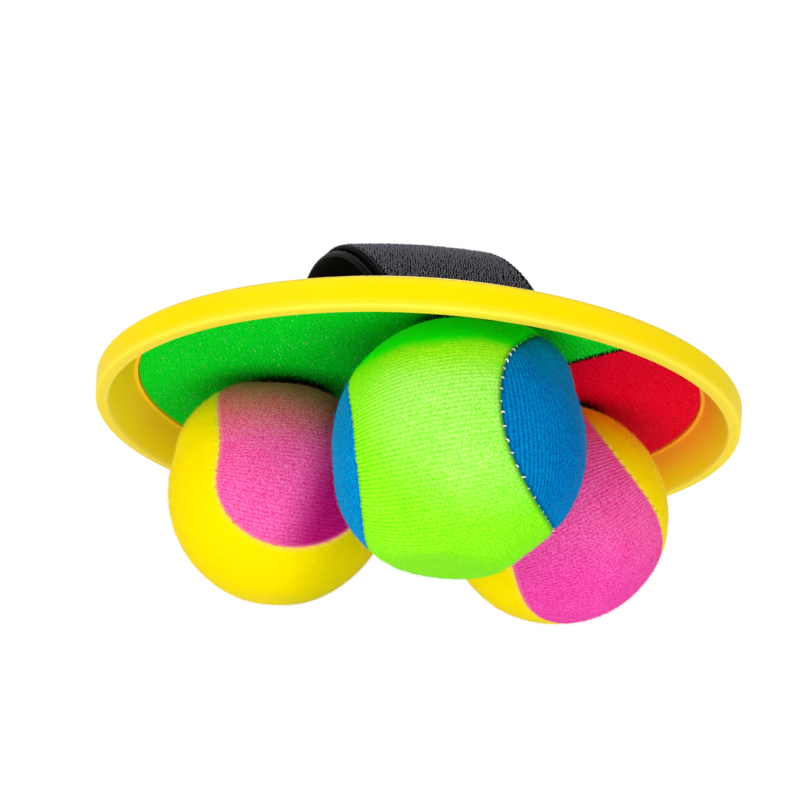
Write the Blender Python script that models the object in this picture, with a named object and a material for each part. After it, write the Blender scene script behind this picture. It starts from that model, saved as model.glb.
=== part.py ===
# Hook and loop catch set: a round catching paddle with a wide strap and three soft balls.
# The paddle lies face down on the balls, which cling to its hook fabric.
# Metres, +Z up. The origin is on the ground under the middle of the paddle,
# and +Y runs along the strap.

import bmesh
import bpy
import math
from mathutils import Euler, Vector

MM = 0.001

# Clearances
TOUCH_GAP = 0.3 * MM          # between pieces that lie on each other
CORE_GAP = 0.9 * MM           # between a ball's filling and its cover

# Balls
BALL_RADIUS = 32.5 * MM
COVER_THICKNESS = 1.8 * MM    # knitted plush
HOOK_PRESS = 0.9 * MM         # how far a ball is pushed into the hooks
GROUND_PRESS = 1 * MM         # how far a ball flattens on the ground
SEAM_SHAPE_RATIO = 0.78       # 1 is a plain circle, 0.5 lets the two lobes meet
SEAM_GROOVE_WIDTH = 1.6 * MM
SEAM_GROOVE_DEPTH = 0.8 * MM

# Where the balls sit: the front one from the paddle's middle, the others round the front one
FRONT_BALL_X = -0.7 * MM
FRONT_BALL_Y = -56.7 * MM
LEFT_BALL_DEGREES = 121
LEFT_BALL_GAP = 7.8 * MM
RIGHT_BALL_DEGREES = 49.5
RIGHT_BALL_GAP = 0.5 * MM

# How each ball's seam is turned (degrees about X, Y, Z), and the colours of its two panels
BALL_LOOKS = {
    "ball_front": {"turn": (77, -39, 158), "panels": ("blue", "lime")},
    "ball_left": {"turn": (9, 7, 138), "panels": ("pink", "yellow")},
    "ball_right": {"turn": (64, 8, -41), "panels": ("pink", "yellow")},
}

# Paddle
FACE_RADIUS = 83 * MM         # seat of the hook fabric
RIM_WIDTH = 11.5 * MM         # from the seat out to the edge of the paddle
RIM_DEPTH = 11.5 * MM         # from the hook face down to the lip
RIM_TAPER = 0.7 * MM          # the outer wall leans in by this much towards the lip
SHOULDER_DROP = 3.9 * MM      # the outer edge lies this far below the hook face
LIP_WIDTH = 3.3 * MM
LIP_ROUND = 1.1 * MM
FACE_RING_WIDTH = 1.1 * MM    # thin raised ring round the fabric
FACE_RING_HEIGHT = 0.8 * MM
PLATE_THICKNESS = 1.8 * MM
SHOULDER_INSET = 4 * MM       # the back starts to fall this far inside the seat's edge

# Hook fabric
FABRIC_THICKNESS = 1 * MM
FABRIC_SPLIT_GAP = 0.5 * MM
FABRIC_SPLIT_DEGREES = 35     # from the green half towards the red half

# Strap: two straps that overlap over the middle of the back
STRAP_WIDTH = 44 * MM
STRAP_THICKNESS = 1.4 * MM
STRAP_SPAN = 114 * MM         # between the two slots
STRAP_RISE = 38.5 * MM        # top of the arch at its +X edge
STRAP_FALL = 6.3 * MM         # how much lower the arch is at its -X edge
STRAP_BOW = 15 * MM           # how far the arch leans towards -X
STRAP_TIP_RADIUS = 8 * MM
UPPER_STRAP_SHIFT = 2 * MM    # the upper strap lies a little to one side of its slot
LOWER_STRAP_SHIFT = 0 * MM
UPPER_STRAP_REACH = 0.78      # share of the arch that each strap covers
LOWER_STRAP_REACH = 0.965

# Slots that hold the straps
SLOT_PLAY = 4 * MM            # spare length at each end of a slot
TAB_LENGTH = 9 * MM           # folded end under the slot's pad
PAD_HEIGHT = 2 * MM
PAD_BORDER = 2.5 * MM
PAD_ROUND = 0.8 * MM

# Facets
RIM_SEGMENTS = 80
PANEL_ROWS = 20
PANEL_COLUMNS = 6
STRAP_STEPS = 20
TIP_STEPS = 4

# Radii that follow
RIM_RADIUS = FACE_RADIUS + RIM_WIDTH
BACK_RADIUS = FACE_RADIUS - SHOULDER_INSET

# Heights that follow
FACE_Z = 2 * BALL_RADIUS - GROUND_PRESS - HOOK_PRESS
BALL_CENTRE_Z = BALL_RADIUS - GROUND_PRESS
FABRIC_TOP_Z = FACE_Z + FABRIC_THICKNESS
PLATE_UNDER_Z = FABRIC_TOP_Z + TOUCH_GAP
PLATE_BACK_Z = PLATE_UNDER_Z + PLATE_THICKNESS
PAD_TOP_Z = PLATE_BACK_Z + PAD_HEIGHT
TAB_Z = PLATE_UNDER_Z + STRAP_THICKNESS / 2
POCKET_TOP_Z = PLATE_UNDER_Z + STRAP_THICKNESS + TOUCH_GAP
SLOT_Y = STRAP_SPAN / 2

COLOURS = {
    "rim_yellow": (0.98, 0.80, 0.01, 0.42),
    "hook_green": (0.01, 0.50, 0.06, 0.75),
    "hook_red": (0.55, 0.01, 0.05, 0.75),
    "strap_black": (0.012, 0.012, 0.015, 0.6),
    "strap_loop": (0.03, 0.03, 0.035, 0.9),
    "plush_lime": (0.25, 0.90, 0.03, 0.95),
    "plush_blue": (0.01, 0.16, 0.45, 0.95),
    "plush_pink": (0.85, 0.10, 0.40, 0.95),
    "plush_yellow": (0.98, 0.75, 0.02, 0.95),
    "filling": (0.80, 0.80, 0.78, 0.95),
}


def clear_scene():
    for item in list(bpy.data.objects):
        bpy.data.objects.remove(item, do_unlink=True)


def material(name):
    found = bpy.data.materials.get(name)
    if found:
        return found
    red, green, blue, roughness = COLOURS[name]
    made = bpy.data.materials.new(name)
    made.use_nodes = True
    shader = made.node_tree.nodes["Principled BSDF"]
    shader.inputs["Base Color"].default_value = (red, green, blue, 1)
    shader.inputs["Roughness"].default_value = roughness
    shader.inputs["Metallic"].default_value = 0
    return made


def object_from(name, bm, slot, smooth_degrees=40):
    bmesh.ops.recalc_face_normals(bm, faces=bm.faces)
    mesh = bpy.data.meshes.new(name)
    bm.to_mesh(mesh)
    bm.free()
    if smooth_degrees:
        mesh.shade_smooth()
        mesh.set_sharp_from_angle(angle=math.radians(smooth_degrees))
    made = bpy.data.objects.new(name, mesh)
    bpy.context.scene.collection.objects.link(made)
    made.data.materials.append(material(slot))
    return made


def smoothstep(value):
    value = min(max(value, 0), 1)
    return value * value * (3 - 2 * value)


def arc(centre, radius, start_degrees, end_degrees, steps):
    """Points of an arc in a section, from one angle to the other."""
    points = []
    for step in range(steps + 1):
        angle = math.radians(start_degrees + (end_degrees - start_degrees) * step / steps)
        points.append((centre[0] + radius * math.cos(angle), centre[1] + radius * math.sin(angle)))
    return points


def turned(profile, segments):
    """Body of revolution about Z. The profile's first and last points lie on the axis."""
    bm = bmesh.new()
    rings = []
    for radius, height in profile[1:-1]:
        ring = []
        for index in range(segments):
            angle = 2 * math.pi * index / segments
            ring.append(bm.verts.new((radius * math.cos(angle), radius * math.sin(angle), height)))
        rings.append(ring)
    for outer, inner in zip(rings, rings[1:]):
        for index in range(segments):
            after = (index + 1) % segments
            bm.faces.new((outer[index], outer[after], inner[after], inner[index]))
    bm.faces.new(rings[0])
    bm.faces.new(rings[-1])
    return bm


def rounded_box(name, low, high, corner, edge=0):
    """Upright box with rounded corners in plan, and a bevelled upper edge where asked."""
    bm = bmesh.new()
    outline = []
    for x, y, start in ((high[0] - corner, high[1] - corner, 0), (low[0] + corner, high[1] - corner, 90),
                        (low[0] + corner, low[1] + corner, 180), (high[0] - corner, low[1] + corner, 270)):
        outline += arc((x, y), corner, start, start + 90, 4)
    base = bm.faces.new([bm.verts.new((x, y, low[2])) for x, y in outline])
    raised = bmesh.ops.extrude_face_region(bm, geom=[base])["geom"]
    top_verts = [item for item in raised if isinstance(item, bmesh.types.BMVert)]
    bmesh.ops.translate(bm, verts=top_verts, vec=(0, 0, high[2] - low[2]))
    if edge:
        rim = [item for item in raised if isinstance(item, bmesh.types.BMEdge)]
        bmesh.ops.bevel(bm, geom=rim, offset=edge, segments=2, profile=0.5, affect="EDGES")
    return object_from(name, bm, "rim_yellow", 0)


def combine(target, tool, operation):
    tool.hide_render = True
    tool.display_type = "WIRE"
    step = target.modifiers.new(operation.lower() + "_" + tool.name, "BOOLEAN")
    step.operation = operation
    step.solver = "EXACT"
    step.object = tool


# Paddle shell

def shell_profile():
    """Section of the moulded shell, from the middle of the back round the rim to the middle of the seat."""
    lip_z = FACE_Z - RIM_DEPTH
    edge_z = FACE_Z - SHOULDER_DROP
    edge_round = PLATE_THICKNESS / 2
    lip_outer = RIM_RADIUS - RIM_TAPER
    lip_inner = lip_outer - LIP_WIDTH
    ring_outer = FACE_RADIUS + FACE_RING_WIDTH
    ring_z = FACE_Z - FACE_RING_HEIGHT
    points = [(0, PLATE_BACK_Z), (BACK_RADIUS - PLATE_THICKNESS, PLATE_BACK_Z),
              (BACK_RADIUS, PLATE_BACK_Z)]
    shoulder_run = RIM_RADIUS - edge_round - BACK_RADIUS
    shoulder_fall = PLATE_BACK_Z - edge_z
    for share in (0.2, 0.5, 0.8):
        ease = share + 0.06 * math.sin(math.pi * share)
        points.append((BACK_RADIUS + shoulder_run * ease, PLATE_BACK_Z - shoulder_fall * share))
    points += arc((RIM_RADIUS - edge_round, edge_z - edge_round), edge_round, 70, 0, 3)
    points += arc((lip_outer - LIP_ROUND, lip_z + LIP_ROUND), LIP_ROUND, 0, -90, 4)
    points += arc((lip_inner + LIP_ROUND / 2, lip_z + LIP_ROUND / 2), LIP_ROUND / 2, -90, -180, 2)
    points += [(ring_outer, ring_z), (FACE_RADIUS + FACE_RING_WIDTH / 4, ring_z)]
    points += [(FACE_RADIUS, ring_z + FACE_RING_WIDTH / 4), (FACE_RADIUS, PLATE_UNDER_Z), (0, PLATE_UNDER_Z)]
    return points


def build_shell():
    shell = object_from("paddle_shell", turned(shell_profile(), RIM_SEGMENTS), "rim_yellow", 35)
    slot_half = STRAP_WIDTH / 2 + SLOT_PLAY
    slot_width = STRAP_THICKNESS + 2 * TOUCH_GAP
    pocket_end = SLOT_Y + TAB_LENGTH + TOUCH_GAP
    overlap = PLATE_THICKNESS / 2
    for side, word in ((-1, "near"), (1, "far")):
        inner = SLOT_Y - slot_width / 2
        spans = {
            "pad": ((slot_half + PAD_BORDER), inner - PAD_BORDER, pocket_end + PAD_BORDER,
                    PLATE_BACK_Z - overlap, PAD_TOP_Z),
            "pocket": (slot_half, inner, pocket_end, PLATE_UNDER_Z - overlap, POCKET_TOP_Z),
            "slot": (slot_half, inner, SLOT_Y + slot_width / 2, PLATE_UNDER_Z, PAD_TOP_Z + overlap),
        }
        for kind, (half, near, far, bottom, top) in spans.items():
            low_y, high_y = sorted((side * near, side * far))
            corner = PAD_BORDER if kind == "pad" else slot_width / 3
            edge = PAD_ROUND if kind == "pad" else 0
            tool = rounded_box(f"guide_{kind}_{word}", (-half, low_y, bottom), (half, high_y, top), corner, edge)
            combine(shell, tool, "UNION" if kind == "pad" else "DIFFERENCE")
    return shell


# Hook fabric

def build_fabric(name, slot, centre_degrees):
    """Half disc of hook fabric, on the side of the split that the angle points to."""
    radius = FACE_RADIUS - TOUCH_GAP
    offset = FABRIC_SPLIT_GAP / 2
    reach = math.degrees(math.acos(offset / radius))
    outline = arc((0, 0), radius, centre_degrees - reach, centre_degrees + reach, RIM_SEGMENTS // 2)
    bm = bmesh.new()
    base = bm.faces.new([bm.verts.new((x, y, FACE_Z)) for x, y in outline])
    raised = bmesh.ops.extrude_face_region(bm, geom=[base])["geom"]
    top_verts = [item for item in raised if isinstance(item, bmesh.types.BMVert)]
    bmesh.ops.translate(bm, verts=top_verts, vec=(0, 0, FABRIC_THICKNESS))
    return object_from(name, bm, slot, 30)


# Strap

def arch_point(turn, across, layer):
    """Middle of a strap on the arch. Turn runs from 0 at the near slot to pi at the far slot,
    across is the distance from the strap's middle, and layer is 0 for the lower strap or 1."""
    shift = UPPER_STRAP_SHIFT if layer else LOWER_STRAP_SHIFT
    share = 0.5 - (across + shift) / STRAP_WIDTH
    rise = STRAP_RISE - STRAP_FALL * share * share
    half = STRAP_SPAN / 2
    outward = Vector((rise * -math.cos(turn), half * math.sin(turn))).normalized()
    pitch = STRAP_THICKNESS + TOUCH_GAP
    lift = pitch * (layer - 1 + smoothstep((turn - 0.5) / (math.pi - 1)))
    base_z = TAB_Z + STRAP_THICKNESS
    place = Vector((across + shift - STRAP_BOW * math.sin(turn),
                    -half * math.cos(turn) + outward.x * lift,
                    base_z + rise * math.sin(turn) + outward.y * lift))
    return place, Vector((0, outward.x, outward.y))


def tab_stations(side):
    """Folded end of a strap, from its tip up to the slot: place in Y and Z, and the outward face."""
    bend = STRAP_THICKNESS
    stations = [(side * (SLOT_Y + TAB_LENGTH), TAB_Z, 0, 1), (side * (SLOT_Y + bend * 1.2), TAB_Z, 0, 1)]
    for degrees in (60, 30):
        angle = math.radians(degrees)
        stations.append((side * (SLOT_Y + bend * (1 - math.cos(angle))), TAB_Z + bend * (1 - math.sin(angle)),
                         side * math.cos(angle), math.sin(angle)))
    return stations


def build_strap(name, slot, layer, side, reach):
    """Woven ribbon that starts folded in its slot and follows the arch to a rounded free end."""
    shift = UPPER_STRAP_SHIFT if layer else LOWER_STRAP_SHIFT
    columns = 8
    tip_share = STRAP_TIP_RADIUS / (math.pi * reach * (STRAP_RISE + STRAP_SPAN / 2) / 2)
    places = [((1 - tip_share) * step / STRAP_STEPS, 0) for step in range(STRAP_STEPS)]
    for step in range(TIP_STEPS + 1):
        angle = math.pi / 2 * step / TIP_STEPS
        places.append((1 - tip_share * (1 - math.sin(angle)), STRAP_TIP_RADIUS * (1 - math.cos(angle))))
    rows = []
    for y, z, face_y, face_z in tab_stations(side):
        rows.append([(Vector((share * STRAP_WIDTH + shift, y, z)), Vector((0, face_y, face_z)))
                     for share in [index / columns - 0.5 for index in range(columns + 1)]])
    for share_along, trim in places:
        turn = math.pi * reach * share_along
        if side > 0:
            turn = math.pi - turn
        half = STRAP_WIDTH / 2 - trim
        rows.append([arch_point(turn, 2 * half * (index / columns - 0.5), layer) for index in range(columns + 1)])
    bm = bmesh.new()
    faces = []
    for sign in (1, -1):
        faces.append([[bm.verts.new(place + face * sign * STRAP_THICKNESS / 2) for place, face in row]
                      for row in rows])
    for grid in faces:
        for row, after in zip(grid, grid[1:]):
            for index in range(columns):
                bm.faces.new((row[index], row[index + 1], after[index + 1], after[index]))
    outer, inner = faces
    for index in range(columns):
        bm.faces.new((outer[0][index], outer[0][index + 1], inner[0][index + 1], inner[0][index]))
        bm.faces.new((outer[-1][index], outer[-1][index + 1], inner[-1][index + 1], inner[-1][index]))
    for step in range(len(rows) - 1):
        for index in (0, columns):
            bm.faces.new((outer[step][index], outer[step + 1][index], inner[step + 1][index], inner[step][index]))
    return object_from(name, bm, slot, 35)


# Balls

def seam_point(turn):
    """Unit vector on the closed seam curve that parts a ball's two panels."""
    wide = SEAM_SHAPE_RATIO
    narrow = 1 - SEAM_SHAPE_RATIO
    return Vector((wide * math.cos(turn) + narrow * math.cos(3 * turn),
                   wide * math.sin(turn) - narrow * math.sin(3 * turn),
                   2 * math.sqrt(wide * narrow) * math.sin(2 * turn))).normalized()


def panel_edge(turn, inset):
    """Seam point moved a little way into the panel."""
    here = seam_point(turn)
    along = seam_point(turn + 0.01) - seam_point(turn - 0.01)
    inward = here.cross(along).normalized()
    return (here + inward * inset).normalized()


def press(place, outer_offset):
    """Flatten a ball where it meets the hooks above and the ground below."""
    top = BALL_RADIUS - HOOK_PRESS - TOUCH_GAP - outer_offset
    bottom = BALL_RADIUS - GROUND_PRESS - outer_offset
    return Vector((place.x, place.y, min(max(place.z, -bottom), top)))


def panel_rows():
    """Unit vectors across one panel, from lobe tip to lobe tip, with each one's share of the groove."""
    inset = TOUCH_GAP / 2 / BALL_RADIUS
    groove = SEAM_GROOVE_WIDTH / BALL_RADIUS
    rows = []
    for step in range(PANEL_ROWS + 1):
        share = step / PANEL_ROWS
        right = panel_edge(-math.pi / 4 + math.pi * share, inset)
        left = panel_edge(-math.pi / 4 - math.pi * share, inset)
        width = right.angle(left)
        if step in (0, PANEL_ROWS):
            rows.append([(right, 1)])
            continue
        edge = min(groove / width, 0.25)
        places = [0] + [edge + (1 - 2 * edge) * index / PANEL_COLUMNS for index in range(PANEL_COLUMNS + 1)] + [1]
        rows.append([(left.slerp(right, place), 1 if place in (0, 1) else 0) for place in places])
    return rows


def build_panel(name, slot, centre, turn, flipped):
    """One of a ball's two alike panels: a thick skin whose edges are drawn in at the seam."""
    rows = panel_rows()
    rotation = Euler([math.radians(angle) for angle in turn], "XYZ").to_matrix()
    bm = bmesh.new()
    skins = []
    for depth in (0, COVER_THICKNESS):
        grid = []
        for row in rows:
            verts = []
            for direction, groove in row:
                if flipped:
                    direction = Vector((direction.x, -direction.y, -direction.z))
                radius = BALL_RADIUS - depth - (SEAM_GROOVE_DEPTH * groove if depth == 0 else 0)
                place = press(rotation @ direction * radius, depth)
                verts.append(bm.verts.new(centre + place))
            grid.append(verts)
        skins.append(grid)
    for grid in skins:
        for row, after in zip(grid, grid[1:]):
            if len(row) == 1 or len(after) == 1:
                tip, fan = (row[0], after) if len(row) == 1 else (after[0], row)
                for index in range(len(fan) - 1):
                    bm.faces.new((tip, fan[index], fan[index + 1]))
            else:
                for index in range(len(row) - 1):
                    bm.faces.new((row[index], row[index + 1], after[index + 1], after[index]))
    outer, inner = skins
    for step in range(PANEL_ROWS):
        for end in (0, -1):
            bm.faces.new((outer[step][end], outer[step + 1][end], inner[step + 1][end], inner[step][end]))
    return object_from(name, bm, slot, 60)


def build_core(name, centre):
    bm = bmesh.new()
    radius = BALL_RADIUS - COVER_THICKNESS - CORE_GAP
    bmesh.ops.create_uvsphere(bm, u_segments=20, v_segments=12, radius=radius)
    for vert in bm.verts:
        vert.co = centre + press(vert.co, COVER_THICKNESS + CORE_GAP)
    return object_from(name, bm, "filling", 60)


def beside_front_ball(degrees, gap):
    angle = math.radians(degrees)
    distance = 2 * BALL_RADIUS + gap
    return Vector((FRONT_BALL_X + distance * math.cos(angle),
                   FRONT_BALL_Y + distance * math.sin(angle), BALL_CENTRE_Z))


def build_ball(name, centre):
    look = BALL_LOOKS[name]
    build_core(name + "_core", centre)
    for flipped, colour in zip((False, True), look["panels"]):
        build_panel(f"{name}_panel_{colour}", "plush_" + colour, centre, look["turn"], flipped)


clear_scene()
build_shell()
build_fabric("hook_face_red", "hook_red", FABRIC_SPLIT_DEGREES)
build_fabric("hook_face_green", "hook_green", FABRIC_SPLIT_DEGREES + 180)
build_strap("strap_lower", "strap_black", 0, 1, LOWER_STRAP_REACH)
build_strap("strap_upper", "strap_loop", 1, -1, UPPER_STRAP_REACH)
build_ball("ball_front", Vector((FRONT_BALL_X, FRONT_BALL_Y, BALL_CENTRE_Z)))
build_ball("ball_left", beside_front_ball(LEFT_BALL_DEGREES, LEFT_BALL_GAP))
build_ball("ball_right", beside_front_ball(RIGHT_BALL_DEGREES, RIGHT_BALL_GAP))
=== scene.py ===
import math

import bmesh
import bpy
import numpy as np
from mathutils import Euler, Matrix, Vector


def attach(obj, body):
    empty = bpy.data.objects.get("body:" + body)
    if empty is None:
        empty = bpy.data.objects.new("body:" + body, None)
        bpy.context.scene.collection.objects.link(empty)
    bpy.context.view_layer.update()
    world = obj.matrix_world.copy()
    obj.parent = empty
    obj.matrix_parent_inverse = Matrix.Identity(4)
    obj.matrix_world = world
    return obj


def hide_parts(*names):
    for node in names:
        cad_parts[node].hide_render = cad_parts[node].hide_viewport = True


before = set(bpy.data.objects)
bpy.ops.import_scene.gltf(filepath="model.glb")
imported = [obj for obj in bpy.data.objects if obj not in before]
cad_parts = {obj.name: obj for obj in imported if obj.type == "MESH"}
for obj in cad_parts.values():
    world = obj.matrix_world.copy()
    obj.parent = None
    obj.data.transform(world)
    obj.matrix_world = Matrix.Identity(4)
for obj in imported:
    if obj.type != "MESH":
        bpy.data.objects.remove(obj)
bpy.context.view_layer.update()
mm = 0.001


# Camera, floor and light

cameraSettings = {
    "place": (-0.0804, -0.3781, -0.0815),
    "turns": (-11.21, 110.565, 3.709),      # degrees about Z, then X, then Z
    "lens": 61.845,
}
lightSettings = {
    "worldStrength": 0.5,
    "lamps": (                               # place, size, power
        ((-2.1, -1.4, 0.3), 1.6, 27),
        ((2.0, -1.5, 0.1), 1.6, 11),
        ((-0.03, -0.5, -0.62), 0.5, 3.6),
        ((0.5, 1.3, 1.9), 1.6, 22),
    ),
    "lampAim": (0, 0, 0.045),
    "floorSize": 6,
    "floorHeight": -0.0004,
    "floorColour": (0.86, 0.86, 0.86, 1),
    "floorFade": (0.3, 1.1),                 # the floor goes over into the white backdrop
    "floorGlow": 0.45,
}


def addNode(tree, kind, inputs=None, **settings):
    made = tree.nodes.new(kind)
    for name, value in settings.items():
        setattr(made, name, value)
    for name, value in (inputs or {}).items():
        if isinstance(value, bpy.types.NodeSocket):
            tree.links.new(value, made.inputs[name])
        else:
            made.inputs[name].default_value = value
    return made


def noiseOf(tree, place, scale, detail=2.0):
    return addNode(tree, "ShaderNodeTexNoise", {"Vector": place, "Scale": scale, "Detail": detail}).outputs[0]


def waveOf(tree, place, scale, distortion, direction="X"):
    return addNode(tree, "ShaderNodeTexWave", {"Vector": place, "Scale": scale, "Distortion": distortion},
                   bands_direction=direction).outputs[1]


def spread(tree, value, low, high, newLow, newHigh):
    return addNode(tree, "ShaderNodeMapRange", {"Value": value, "From Min": low, "From Max": high,
                                                "To Min": newLow, "To Max": newHigh}).outputs[0]


def mixColour(tree, share, first, second, blend="MIX"):
    return addNode(tree, "ShaderNodeMix", {0: share, 6: first, 7: second},
                   data_type="RGBA", blend_type=blend).outputs[2]


def mixShader(tree, share, first, second):
    return addNode(tree, "ShaderNodeMixShader", {0: share, 1: first, 2: second}).outputs[0]


def calculate(tree, operation, first, second):
    return addNode(tree, "ShaderNodeMath", {0: first, 1: second}, operation=operation).outputs[0]


def attributeOf(tree, name, output="Fac"):
    return addNode(tree, "ShaderNodeAttribute", attribute_name=name).outputs[output]


def startMaterial(name, values):
    material = bpy.data.materials.new(name)
    material.use_nodes = True
    tree = material.node_tree
    shader = tree.nodes["Principled BSDF"]
    for label, value in values.items():
        shader.inputs[label].default_value = value
    place = addNode(tree, "ShaderNodeTexCoord").outputs["Object"]
    return material, tree, place


def finishMaterial(material, colour, layers=(), roughness=None):
    # layers are bumps: height, strength, distance
    tree = material.node_tree
    shader = tree.nodes["Principled BSDF"]
    tree.links.new(colour, shader.inputs["Base Color"])
    if roughness:
        tree.links.new(roughness, shader.inputs["Roughness"])
    normal = None
    for height, strength, distance in layers:
        inputs = {"Height": height, "Strength": strength, "Distance": distance}
        if normal:
            inputs["Normal"] = normal
        normal = addNode(tree, "ShaderNodeBump", inputs).outputs[0]
    if normal:
        tree.links.new(normal, shader.inputs["Normal"])
    return material


def addObject(name, data):
    made = bpy.data.objects.new(name, data)
    bpy.context.scene.collection.objects.link(made)
    return made


def makeCamera(settings):
    data = bpy.data.cameras.new("camera")
    data.lens = settings["lens"]
    data.sensor_width = 36
    data.clip_start = 0.01
    camera = addObject("camera", data)
    first, second, third = (math.radians(angle) for angle in settings["turns"])
    turn = Matrix.Rotation(first, 4, "Z") @ Matrix.Rotation(second, 4, "X") @ Matrix.Rotation(third, 4, "Z")
    camera.matrix_world = Matrix.Translation(settings["place"]) @ turn
    bpy.context.scene.camera = camera


def makeLamp(index, place, size, power, aim):
    data = bpy.data.lights.new(f"lamp{index}", "AREA")
    data.size = size
    data.energy = power
    lamp = addObject(f"lamp{index}", data)
    lamp.location = place
    lamp.rotation_euler = (Vector(aim) - Vector(place)).to_track_quat("-Z", "Y").to_euler()


def makeWorld(strength):
    world = bpy.data.worlds.new("studio")
    world.use_nodes = True
    tree = world.node_tree
    tree.nodes.clear()
    path = addNode(tree, "ShaderNodeLightPath").outputs
    seen = calculate(tree, "MAXIMUM", path["Is Camera Ray"], path["Is Glossy Ray"])
    seen = calculate(tree, "MAXIMUM", seen, path["Is Transmission Ray"])
    soft = addNode(tree, "ShaderNodeBackground", {"Color": (1, 1, 1, 1), "Strength": strength})
    white = addNode(tree, "ShaderNodeBackground", {"Color": (1, 1, 1, 1), "Strength": 1.0})
    addNode(tree, "ShaderNodeOutputWorld", {"Surface": mixShader(tree, seen, soft.outputs[0], white.outputs[0])})
    bpy.context.scene.world = world


def makeFloor(settings):
    # The camera looks up from under the floor, so the floor is clear from below
    half, low = settings["floorSize"] / 2, settings["floorHeight"]
    mesh = bpy.data.meshes.new("floor")
    mesh.from_pydata([(-half, -half, low), (half, -half, low), (half, half, low), (-half, half, low)], [],
                     [(0, 1, 2, 3)])
    floor = addObject("floor", mesh)
    material, tree, place = startMaterial("paleFloor", {"Roughness": 0.9, "Specular IOR Level": 0.1})
    grain = spread(tree, noiseOf(tree, place, 60.0), 0.0, 1.0, 0.95, 1.0)
    finishMaterial(material, mixColour(tree, 1.0, settings["floorColour"], grain, "MULTIPLY"))
    away = addNode(tree, "ShaderNodeVectorMath", {0: place}, operation="LENGTH").outputs["Value"]
    seen = addNode(tree, "ShaderNodeLightPath").outputs["Is Camera Ray"]
    fade = calculate(tree, "MULTIPLY", spread(tree, away, *settings["floorFade"], settings["floorGlow"], 1.0), seen)
    white = addNode(tree, "ShaderNodeEmission", {"Color": (1, 1, 1, 1), "Strength": 1.0}).outputs[0]
    clear = addNode(tree, "ShaderNodeBsdfTransparent").outputs[0]
    under = addNode(tree, "ShaderNodeNewGeometry").outputs["Backfacing"]
    above = mixShader(tree, fade, tree.nodes["Principled BSDF"].outputs[0], white)
    tree.links.new(mixShader(tree, under, above, clear), tree.nodes["Material Output"].inputs["Surface"])
    mesh.materials.append(material)
    for ray in ("diffuse", "glossy", "transmission", "volume_scatter", "shadow"):
        setattr(floor, "visible_" + ray, False)


makeCamera(cameraSettings)
makeWorld(lightSettings["worldStrength"])
for lampIndex, (lampPlace, lampSize, lampPower) in enumerate(lightSettings["lamps"]):
    makeLamp(lampIndex, lampPlace, lampSize, lampPower, lightSettings["lampAim"])
makeFloor(lightSettings)
bpy.context.scene.view_settings.view_transform = "Standard"
print("camera, light and floor are in place")


# Materials

ballPlaces = {"ball_front": (-0.7, -56.7), "ball_left": (-38.195, 5.702), "ball_right": (41.839, -6.894)}  # in mm
splitDegrees = 35                            # from the green half of the fabric towards the red half
splitTurn = math.radians(splitDegrees)
rowTurn = math.radians(38)                   # the rows of hooks run this way
# Near-black for painted shade: the contact shadow round the balls and the shade in the cleft of the split
paintedShadeDark = (0.004, 0.006, 0.003, 1)


def makeDishPlastic():
    material, tree, place = startMaterial("dishPlastic", {"Specular IOR Level": 0.03})
    flow = noiseOf(tree, place, 28.0, 3.0)
    colour = mixColour(tree, spread(tree, flow, 0.3, 0.7, 0.0, 1.0), (1.0, 0.765, 0.0, 1), (0.985, 0.73, 0.0, 1))
    # Painted highlight: lighter yellow lines along the rounded lip corner and the shoulder edge
    colour = mixColour(tree, spread(tree, attributeOf(tree, "wearAndHighlight"), 0.0, 1.0, 0.0, 0.4), colour,
                       (1.0, 0.88, 0.16, 1))
    # Painted reflected light: orange on the inner wall where the hook fabric would bounce light onto it
    colour = mixColour(tree, attributeOf(tree, "paintedBounce"), colour, (1.0, 0.42, 0.02, 1))
    scuff = spread(tree, noiseOf(tree, place, 420.0, 4.0), 0.35, 0.65, 0.34, 0.46)
    return finishMaterial(material, colour, ((noiseOf(tree, place, 1900.0), 0.10, 0.0002), (flow, 0.15, 0.0008)),
                          scuff)


def paintedContactShadow(tree, place):
    # Painted contact shadow: the fabric is painted dark round each place where a ball presses on it
    nearest = None
    for x, y in ballPlaces.values():
        away = addNode(tree, "ShaderNodeVectorMath", {0: place, 1: (x * mm, y * mm, 0.063)},
                       operation="DISTANCE").outputs["Value"]
        nearest = calculate(tree, "MINIMUM", nearest, away) if nearest else away
    rough = spread(tree, noiseOf(tree, place, 700.0), 0.3, 0.7, -0.0009, 0.0009)
    return spread(tree, calculate(tree, "ADD", nearest, rough), 0.0115, 0.0145, 0.95, 0.0)


def makeHookBacking(name, colour, dark):
    material, tree, place = startMaterial(name, {"Roughness": 0.8, "Specular IOR Level": 0.05})
    patch = noiseOf(tree, place, 45.0, 3.0)
    speck = noiseOf(tree, place, 1500.0)
    turned = addNode(tree, "ShaderNodeMapping", {"Vector": place, "Rotation": (0, 0, rowTurn)}).outputs[0]
    lines = waveOf(tree, turned, 210.0, 1.2)
    tone = mixColour(tree, spread(tree, patch, 0.35, 0.65, 0.0, 0.2), colour, dark)
    tone = mixColour(tree, spread(tree, lines, 0.2, 0.9, 0.3, 0.0), tone, dark)
    # Painted shade in the cleft: the fabric is painted dark along both cut edges of the split
    beside = addNode(tree, "ShaderNodeVectorMath", {0: place, 1: (math.cos(splitTurn), math.sin(splitTurn), 0)},
                     operation="DOT_PRODUCT").outputs["Value"]
    beside = calculate(tree, "ABSOLUTE", beside, 0.0)
    beside = calculate(tree, "ADD", beside, spread(tree, speck, 0.3, 0.7, -0.0006, 0.0006))
    tone = mixColour(tree, spread(tree, beside, 0.0009, 0.0013, 0.92, 0.0), tone, paintedShadeDark)
    # Painted contact shadow round the balls
    tone = mixColour(tree, paintedContactShadow(tree, place), tone, paintedShadeDark)
    return finishMaterial(material, tone, ((lines, 0.5, 0.0003), (speck, 0.3, 0.0002)))


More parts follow.
